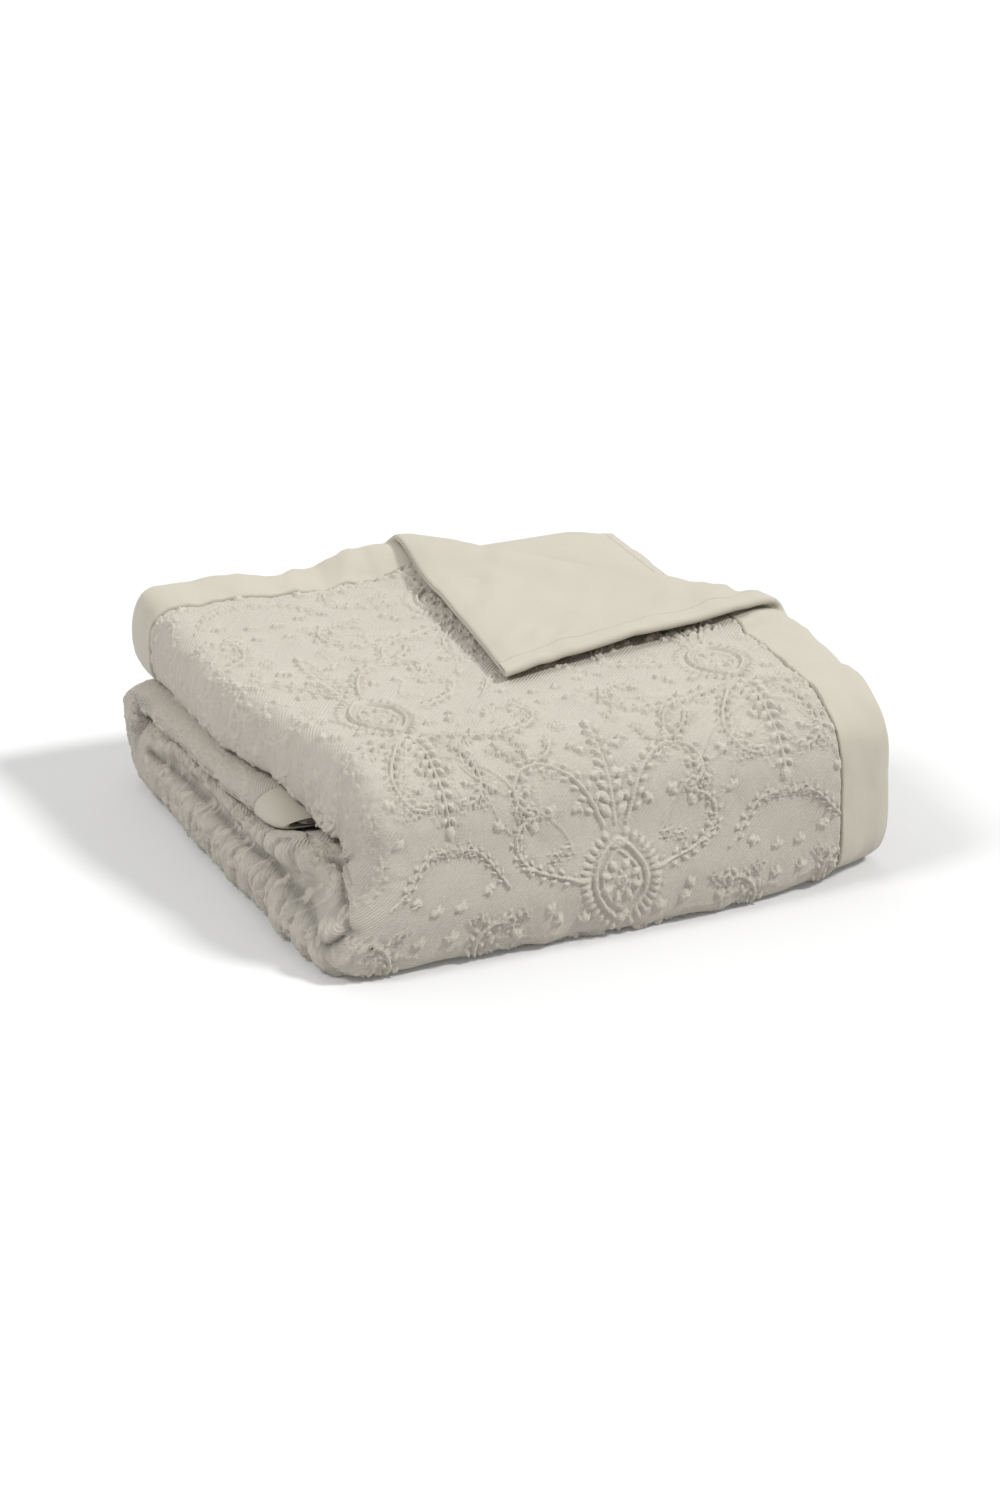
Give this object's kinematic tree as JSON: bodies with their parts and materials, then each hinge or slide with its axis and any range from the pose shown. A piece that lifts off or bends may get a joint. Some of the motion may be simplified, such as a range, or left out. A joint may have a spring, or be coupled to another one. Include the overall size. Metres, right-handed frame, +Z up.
{
  "type": "jacquard bedspread",
  "caption": "Padded cotton bedspread with a raised floral jacquard face, folded into a soft block with one corner turned back to show its plain backing.",
  "frame": {"origin": "centre of the box around the folded bedspread, on the surface it lies on", "axes": "+X from the folded end to the open end, +Y from the rounded front fold to the back, +Z up"},
  "size_m": [0.6028, 0.5634, 0.2146],
  "materials": {
    "jacquard": "matt cream cotton jacquard with a raised, padded weave",
    "backing_sateen": "smooth cream cotton sateen with a faint sheen",
    "border_sateen": "smooth cream cotton sateen with a faint sheen"
  },
  "bodies": {
    "root": {"jacquard_panel": "jacquard", "backing": "backing_sateen", "border_back": "border_sateen", "border_inner": "border_sateen", "border_open_end": "border_sateen", "border_second": "border_sateen"}
  },
  "joints": []
}
